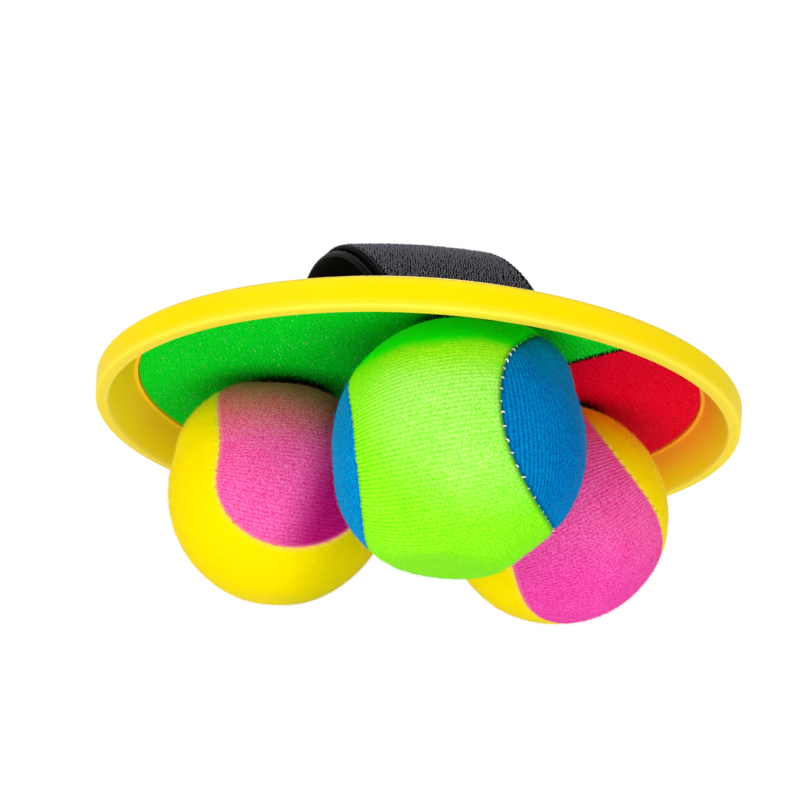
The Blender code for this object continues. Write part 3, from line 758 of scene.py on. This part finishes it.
def makePanel(name, colour, spec, flipped, settings):
    radius, thickness = settings["radius"], settings["coverThickness"]
    left, right, rows = panelGrid(settings)
    seam = seamPoints(np.linspace(0, 2 * math.pi, 1441)[:-1], settings["seamShape"])
    along = lengthsAlong(seam) * radius
    outerColumns = columnShares(settings["columns"])
    innerColumns = np.linspace(0, 1, settings["innerColumns"] + 1)
    outer = betweenPoints(left[:, None], right[:, None], outerColumns[None, :, None])
    inner = betweenPoints(left[:, None], right[:, None], innerColumns[None, 1:-1, None])
    outerCount, innerCount = outer.shape[1], inner.shape[1]
    directions = outer.reshape(-1, 3)
    nearness = directions.astype(np.float32) @ seam.T.astype(np.float32)
    distance = np.arccos(np.clip(nearness.max(1), -1, 1)) * radius
    sewn = along[nearness.argmax(1)]
    rowIndex = np.repeat(np.arange(rows + 1), outerCount)
    phase = (rowIndex % settings["ribSteps"]) / settings["ribSteps"]
    crest = np.abs(np.sin(math.pi * phase)) ** 0.7
    shape = np.array([1, -1, -1]) if flipped else np.ones(3)
    world = worldDirections(directions * shape, spec, settings)
    seed = settings["seed"] + int(abs(spec["at"][0]) * 10) + (5 if flipped else 0)
    skin = world * radius
    calm = 0.5 + 0.5 * softNoise(skin, 0.13, seed)
    ribStrength = settings["ribShare"][colour] * (0.4 + 0.6 * np.exp(-distance / 12)) * (0.6 + 0.4 * calm)
    ribStrength *= 1 - settings["ribFade"][colour] * smoothStep((world[:, 0] + 0.45) / 0.75)
    offset = settings["ribHeight"] * ribStrength * (crest - 0.5) - settings["pileDepth"]
    show = seamShow(world, spec)
    offset -= spec["seamDepth"] * show * (1 - smoothStep(distance / settings["seamWidth"])) ** 1.4
    offset -= settings["pucker"] * np.exp(-distance / 1.6) * (
        0.5 + 0.5 * np.cos(2 * math.pi * sewn / settings["stitchPitch"]))
    offset += settings["softness"] * softNoise(skin, 0.22, seed + 1)
    offset += 0.05 * softNoise(skin, 1.6, seed + 2)
    offset += bulgeAt(world, spec)
    place = world * (radius + offset)[:, None]
    top = radius - settings["hookPress"]
    bottom = radius - settings["groundPress"]
    pressed = place[:, 2] > top - 0.1
    sag = 0.06 * softNoise(skin, 0.9, seed + 3)
    soft = settings["groundSoft"]
    place[:, 2] = np.logaddexp(0, (place[:, 2] + bottom) / soft) * soft - bottom
    place[:, 2] = np.minimum(place[:, 2], top - 0.06 + sag)
    innerPlace = worldDirections(inner.reshape(-1, 3) * shape, spec, settings) * (radius - thickness)
    innerPlace[:, 2] = np.clip(innerPlace[:, 2], thickness - bottom, top - thickness)
    centre = np.array([*spec["at"], settings["centreHeight"]])
    points = (np.concatenate([place, innerPlace]) + centre) * mm
    outerIndex = np.arange(len(directions)).reshape(rows + 1, outerCount)
    innerIndex = (len(directions) + np.arange(len(innerPlace))).reshape(rows + 1, innerCount)
    innerIndex = np.concatenate([outerIndex[:, :1], innerIndex, outerIndex[:, -1:]], 1)
    for row in (0, -1):
        outerIndex[row] = outerIndex[row, 0]
        innerIndex[row] = outerIndex[row, 0]
    faces = gridFaces(outerIndex) + [face[::-1] for face in gridFaces(innerIndex)]
    used = np.unique(np.concatenate([outerIndex.ravel(), innerIndex.ravel()]))
    renumber = np.full(len(points), -1)
    renumber[used] = np.arange(len(used))
    faces = [[int(renumber[corner]) for corner in face] for face in faces]
    rib = np.concatenate([0.5 + (crest - 0.5) * ribStrength, np.full(len(innerPlace), 0.5)])
    pile = np.concatenate([(distance > 0.5) & ~pressed, np.zeros(len(innerPlace), bool)])
    # Painted light and shade: each tint lightens, darkens or recolours one side of a cover, for bounced colour,
    # shadows and highlights
    paintedLight = np.ones_like(world)
    for paintedOn, towards, start, width, tint in spec["paintedLights"]:
        if paintedOn == colour:
            share = world @ np.array(towards) - start + 0.03 * softNoise(skin, 0.3, seed + 4)
            paintedLight *= 1 + (np.array(tint) - 1) * smoothStep(share / width)[:, None]
    paintedLight = np.concatenate([paintedLight, np.ones((len(innerPlace), 3))])
    # Darker along the seam on the lime and blue covers: painted shade in the seam groove
    edge = np.concatenate([0.9 * show * np.exp(-(distance / 0.7) ** 2), np.zeros(len(innerPlace))])
    panel = newPiece(name, points[used], faces, plush[colour],
                     {"rib": rib[used], "paintedLight": paintedLight[used], "edge": edge[used]}, smoothDegrees=75)
    chosen = panel.data.attributes.new("pile", "BOOLEAN", "POINT")
    chosen.data.foreach_set("value", pile[used])
    return panel


print("balls start")
covers = {}
for ballName, ballSpec in balls.items():
    for turnedOver, panelColour in zip((False, True), ballSpec["panels"]):
        coverName = f"{ballName}_cover_{panelColour}"
        cover = makePanel(coverName, panelColour, ballSpec, turnedOver, ballSettings)
        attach(cover, "root")
        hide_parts(f"{ballName}_panel_{panelColour}")
        covers[coverName] = cover
    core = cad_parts[ballName + "_core"]
    core.data.materials.clear()
    core.data.materials.append(filling)
    print(ballName, "covers done:", sum(len(item.data.polygons) for item in covers.values()), "faces so far")


# Seam stitches

stitchSettings = {"height": 0.4, "length": 0.65, "thread": 0.3, "lean": 0.4, "seed": 5}


def makeSeamStitches(ballName, spec, settings, ball):
    turns = np.linspace(0, 2 * math.pi, 2881)
    seam = seamPoints(turns, ball["seamShape"])
    along = lengthsAlong(seam) * ball["radius"]
    count = round(along[-1] / ball["stitchPitch"])
    picked = np.interp((np.arange(count) + 0.5) * along[-1] / count, along, turns)
    here = seamPoints(picked, ball["seamShape"])
    ahead = unit(seamPoints(picked + 0.01, ball["seamShape"]) - here)
    slant = np.cross(here, ahead) * 0.86 + ahead * 0.5
    world = worldDirections(here, spec, ball)
    heading = unit(worldDirections(here + slant * 0.02, spec, ball) - world)
    size = seamShow(world, spec) * (1 - 0.7 * smoothStep((np.abs(world[:, 2]) - 0.5) / 0.2))
    depth = ball["radius"] - ball["pileDepth"] - spec["seamDepth"] * size * 0.8 + bulgeAt(world, spec)
    place = world * depth[:, None] - heading * settings["length"] / 2
    place[:, 2] = np.clip(place[:, 2], ball["groundPress"] - ball["radius"] + 0.3,
                          ball["radius"] - ball["hookPress"] - 0.35)
    centre = np.array([*spec["at"], ball["centreHeight"]])
    spots = pointMesh(ballName + "_spots", (place + centre) * mm, world, heading, size)
    stitches = growTufts(ballName + "_stitches", spots, placedTufts, spec["thread"], {
        "Height": settings["height"] * mm, "Reach": settings["length"] * mm, "Curl": 0.0,
        "Thread Width": settings["thread"] * mm, "Lean": settings["lean"], "Spin": 0.7, "Size Spread": 0.35,
        "Steps": 6, "Sides": 6, "Seed": settings["seed"]})
    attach(stitches, "root")


for ballName, ballSpec in balls.items():
    makeSeamStitches(ballName, ballSpec, stitchSettings, ballSettings)
print("seam stitches done")


# Hook faces

faceSettings = {
    "radius": 82.7, "low": 63.1, "thickness": 1.0, "splitGap": 0.5, "arcSteps": 120, "edgeSteps": 150, "rag": 0.16,
    "rowPitch": 1.4, "hookPitch": 1.12, "hookHeight": 0.85, "hookReach": 0.42, "hookWire": 0.17,
    "splitClear": 1.0, "ballClear": 8.4, "ballFade": 4.2, "seed": 21,
}


def makeHookFace(name, node, centreDegrees, backing, wire, settings):
    radius, gap = settings["radius"], settings["splitGap"] / 2
    draw = np.random.default_rng(settings["seed"] + centreDegrees)
    reach = math.acos(gap / radius)
    angles = np.linspace(-reach, reach, settings["arcSteps"] + 1)
    outline = np.stack([radius * np.cos(angles), radius * np.sin(angles)], 1)
    back = np.linspace(outline[-1, 1], outline[0, 1], settings["edgeSteps"] + 1)[1:-1]
    ragged = gap + settings["rag"] * np.abs(draw.normal(size=len(back))) * np.where(np.arange(len(back)) % 2, 1, 0.2)
    outline = np.concatenate([outline, np.stack([ragged, back], 1)])
    turn = math.radians(centreDegrees)
    cosine, sine = math.cos(turn), math.sin(turn)
    outline = outline @ np.array([[cosine, sine], [-sine, cosine]])
    cloth = addObject(name, raisedMesh(name, outline, settings["low"], settings["thickness"]))
    cloth.data.materials.append(backing)
    rows = np.arange(-radius, radius, settings["rowPitch"])
    spots = np.arange(-radius, radius, settings["hookPitch"])
    across, along = np.meshgrid(rows, spots, indexing="ij")
    along = along + (np.arange(len(rows)) % 2)[:, None] * settings["hookPitch"] / 2
    across = across + draw.normal(scale=0.1, size=across.shape)
    along = along + draw.normal(scale=0.12, size=along.shape)
    x = (along * math.cos(rowTurn) - across * math.sin(rowTurn)).ravel()
    y = (along * math.sin(rowTurn) + across * math.cos(rowTurn)).ravel()
    inside = (np.hypot(x, y) < radius - 0.5) & (x * cosine + y * sine > gap + settings["splitClear"])
    size = np.ones(len(x))
    for ballX, ballY in ballPlaces.values():
        away = np.hypot(x - ballX, y - ballY) - settings["ballClear"]
        inside &= away > 0
        size *= 0.35 + 0.65 * smoothStep(away / settings["ballFade"])
    x, y, size = x[inside], y[inside], size[inside]
    count = len(x)
    heading = np.tile([math.cos(rowTurn), math.sin(rowTurn), 0], (count, 1))
    heading *= np.where(draw.random(count) < 0.5, -1, 1)[:, None]
    places = np.stack([x, y, np.full(count, settings["low"])], 1) * mm
    spots = pointMesh(name + "_spots", places, np.tile([0, 0, -1], (count, 1)), heading, size)
    hooks = growTufts(name + "_hooks", spots, placedTufts, wire, {
        "Height": settings["hookHeight"] * mm, "Reach": settings["hookReach"] * mm, "Curl": 0.55,
        "Thread Width": settings["hookWire"] * mm, "Lean": 0.18, "Spin": 0.5, "Size Spread": 0.18,
        "Steps": 3, "Sides": 3, "Seed": settings["seed"]})
    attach(cloth, "root")
    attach(hooks, "root")
    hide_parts(node)
    print(name, "has", count, "hooks")


makeHookFace("red_face", "hook_face_red", splitDegrees, redBacking, redWire, faceSettings)
makeHookFace("green_face", "hook_face_green", splitDegrees + 180, greenBacking, greenWire, faceSettings)


# Straps: two ribbons that start folded in their slots and overlap over the middle

strapSettings = {
    "width": 44, "thickness": 1.4, "span": 114, "rise": 38.5, "fall": 6.3, "bow": 15, "tipRadius": 8,
    "gap": 0.3, "shifts": (0, 2), "reaches": (0.965, 0.78), "tabLength": 9, "tabHeight": 65.1,
    "steps": 150, "tipSteps": 10, "columns": 22, "edgeSteps": 5,
    "selvage": 1.9, "selvageDrop": 0.22, "arcExtra": 1.05,
    "loopRow": 0.74, "loopPitch": 0.7, "loopHeight": 0.42, "loopReach": 0.42, "loopThread": 0.26,
    "stitchPitch": 2.4, "stitchLength": 1.7, "stitchThread": 0.36, "seed": 31,
}


def archPoint(turn, across, layer, settings):
    shift = settings["shifts"][layer]
    share = 0.5 - (across + shift) / settings["width"]
    rise = settings["rise"] - settings["fall"] * share * share
    half = settings["span"] / 2
    outY, outZ = -rise * np.cos(turn), half * np.sin(turn)
    length = np.hypot(outY, outZ)
    outY, outZ = outY / length, outZ / length
    lift = (settings["thickness"] + settings["gap"]) * (layer - 1 + smoothStep((turn - 0.5) / (math.pi - 1)))
    base = settings["tabHeight"] + settings["thickness"]
    place = np.stack([across + shift - settings["bow"] * np.sin(turn), -half * np.cos(turn) + outY * lift,
                      base + rise * np.sin(turn) + outZ * lift], -1)
    return place, np.stack([np.zeros_like(outY), outY, outZ], -1)


def crossSection(halfWidth, settings):
    # Across and outward offsets round one cut of the ribbon, with round edges and a thinner woven border
    half = settings["thickness"] / 2
    flatHalf = halfWidth - half
    top = np.linspace(-flatHalf, flatHalf, settings["columns"] + 1)
    drop = settings["selvageDrop"] * (1 - smoothStep((halfWidth - np.abs(top)) / settings["selvage"]))
    turn = np.linspace(math.pi / 2, -math.pi / 2, settings["edgeSteps"] + 2)[1:-1]
    edge = half - settings["selvageDrop"]
    right = np.stack([flatHalf + edge * np.cos(turn), edge * np.sin(turn)], 1)
    upper = np.stack([top, half - drop], 1)
    lower = np.stack([top[::-1], -(half - drop[::-1])], 1)
    return np.concatenate([upper, right, lower, right[::-1] * [-1, 1]])


def archLength(layer, settings):
    # About how long the ribbon is in the air, as on a circle between the rise and half the span
    return math.pi * settings["reaches"][layer] * (settings["rise"] + settings["span"] / 2) / 2


def strapPlaces(layer, settings):
    # Share of the arch and how much each end is trimmed, up to the rounded free end
    tip = settings["tipRadius"] / archLength(layer, settings)
    places = [((1 - tip) * step / settings["steps"], 0.0) for step in range(settings["steps"])]
    for step in range(settings["tipSteps"] + 1):
        angle = math.pi / 2 * step / settings["tipSteps"]
        places.append((1 - tip * (1 - math.sin(angle)), settings["tipRadius"] * (1 - math.cos(angle))))
    return places


def tabStations(side, settings):
    bend, slot, height = settings["thickness"], settings["span"] / 2, settings["tabHeight"]
    stations = [(slot + settings["tabLength"] * share + bend * 1.2 * (1 - share), height, 0, 1)
                for share in (1, 0.8, 0.6, 0.4, 0.2, 0)]
    for degrees in (75, 60, 45, 30, 15):
        angle = math.radians(degrees)
        stations.append((slot + bend * (1 - math.cos(angle)), height + bend * (1 - math.sin(angle)),
                         math.cos(angle), math.sin(angle)))
    return [(side * y, z, side * outY, outZ) for y, z, outY, outZ in stations]


def makeStrap(name, node, layer, side, material, settings):
    width, shift = settings["width"], settings["shifts"][layer]
    rings = []
    full = crossSection(width / 2, settings)
    for y, z, outY, outZ in tabStations(side, settings):
        ring = np.stack([full[:, 0] + shift, y + outY * full[:, 1], z + outZ * full[:, 1]], 1)
        rings.append((ring, full))
    for share, trim in strapPlaces(layer, settings):
        turn = math.pi * settings["reaches"][layer] * share
        turn = math.pi - turn if side > 0 else turn
        cut = crossSection(width / 2 - trim, settings)
        place, outward = archPoint(np.full(len(cut), turn), cut[:, 0], layer, settings)
        rings.append((place + outward * cut[:, 1:], cut))
    lengths = lengthsAlong(np.array([ring.mean(0) for ring, cut in rings]))
    points = np.concatenate([ring for ring, cut in rings]) * mm
    flat = np.concatenate([np.stack([cut[:, 0], np.full(len(cut), length)], 1)
                           for (ring, cut), length in zip(rings, lengths)]) * mm
    index = np.arange(len(points)).reshape(len(rings), len(full))
    faces = gridFaces(np.concatenate([index, index[:, :1]], 1))
    faces += [index[0].tolist(), index[-1][::-1].tolist()]
    strap = newPiece(name, points, faces, material, {}, flat=flat, smoothDegrees=50)
    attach(strap, "root")
    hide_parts(node)
    print(name, "is", round(float(lengths[-1]), 1), "mm long")
    return strap


def strapSpots(name, settings, layer, turns, across, headings, lift, size):
    place, outward = archPoint(turns, across, layer, settings)
    ahead, _ = archPoint(turns + 0.01, across, layer, settings)
    beside, _ = archPoint(turns, across + 0.1, layer, settings)
    along, sideways = unit(ahead - place), unit(beside - place)
    facing = unit(np.cross(sideways, along))
    facing *= np.sign((facing * outward).sum(1, keepdims=True))
    heading = along * np.cos(headings)[:, None] + sideways * np.sin(headings)[:, None]
    return pointMesh(name, (place + outward * lift) * mm, facing, heading, size)


lowerStrap = makeStrap("strap_under", "strap_lower", 0, 1, smoothWebbing, strapSettings)
upperStrap = makeStrap("strap_over", "strap_upper", 1, -1, loopWebbing, strapSettings)


def growLoops(settings):
    draw = np.random.default_rng(settings["seed"])
    most = math.pi * settings["reaches"][1]
    arc = archLength(1, settings) * settings["arcExtra"]
    turns = np.linspace(0.1, most - 0.14, int(arc / settings["loopRow"]))
    half = settings["width"] / 2 - settings["selvage"]
    across = np.arange(-half, half, settings["loopPitch"])
    turnGrid, acrossGrid = np.meshgrid(turns, across, indexing="ij")
    shape = turnGrid.shape
    # Twill: every row stands a third of a step further across
    step = (np.arange(len(turns)) % 3)[:, None] / 3
    turnGrid = turnGrid + draw.normal(scale=0.0012, size=shape)
    acrossGrid = acrossGrid + step * settings["loopPitch"] + draw.normal(scale=0.15, size=shape)
    slant = 0.7 + draw.normal(scale=0.4, size=shape)
    turnFlat, acrossFlat, slantFlat = turnGrid.ravel(), acrossGrid.ravel(), slant.ravel()
    keep = (turnFlat < most - 0.1) & (np.abs(acrossFlat) < half)
    turnFlat, acrossFlat, slantFlat = turnFlat[keep], acrossFlat[keep], slantFlat[keep]
    size = draw.uniform(0.75, 1.2, len(turnFlat))
    spots = strapSpots("loopSpots", settings, 1, turnFlat, acrossFlat, slantFlat,
                       settings["thickness"] / 2 - 0.08, size)
    loops = growTufts("strap_loops", spots, placedTufts, loopPile, {
        "Height": settings["loopHeight"] * mm, "Reach": settings["loopReach"] * mm, "Curl": 0.0,
        "Thread Width": settings["loopThread"] * mm, "Lean": 0.15, "Spin": 0.15, "Size Spread": 0.1,
        "Steps": 2, "Sides": 3, "Seed": settings["seed"]})
    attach(loops, "root")
    print("the strap has", len(turnFlat), "loops")
    return loops


def sewStraps(settings):
    stitches = []
    for layer, name in ((0, "strap_under_stitches"), (1, "strap_over_stitches")):
        arc = archLength(layer, settings) * settings["arcExtra"]
        run = np.linspace(0.08, math.pi * settings["reaches"][layer] - 0.2, int(arc / settings["stitchPitch"]))
        turns = np.tile(math.pi - run if layer == 0 else run, 2)
        half = settings["width"] / 2 - settings["selvage"] * 0.62
        across = np.repeat([-half, half], len(run))
        spots = strapSpots(name + "_spots", settings, layer, turns, across, np.zeros(len(turns)),
                           settings["thickness"] / 2 - 0.16, np.ones(len(turns)))
        sewn = growTufts(name, spots, placedTufts, blackThread, {
            "Height": 0.34 * mm, "Reach": settings["stitchLength"] * mm, "Curl": 0.0,
            "Thread Width": settings["stitchThread"] * mm, "Lean": 0.03, "Spin": 0.05, "Size Spread": 0.05,
            "Steps": 6, "Sides": 5, "Seed": settings["seed"] + layer})
        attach(sewn, "root")
        stitches.append(sewn)
    return stitches


strapLoops = growLoops(strapSettings)
underStitches, overStitches = sewStraps(strapSettings)
print("straps done")


# Pile: the fuzz that stands out of the covers

pileSettings = {"density": 1.8, "height": 0.38, "reach": 0.3, "width": 0.045, "lean": 0.8, "seed": 41}


def growPile(cover, colour, settings):
    pile = growTufts(cover.name + "_pile", cover.data.copy(), scatteredPile, plush[colour], {
        "Height": settings["height"] * mm, "Reach": settings["reach"] * mm, "Curl": 0.9,
        "Thread Width": settings["width"] * mm, "Lean": settings["lean"], "Spin": math.pi, "Size Spread": 0.45,
        "Density": settings["density"] / mm ** 2, "Steps": 2, "Seed": settings["seed"]})
    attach(pile, "root")
    return len(pile.data.polygons)


for coverName, cover in covers.items():
    print(coverName, "pile:", growPile(cover, coverName.rsplit("_", 1)[1], pileSettings), "faces")
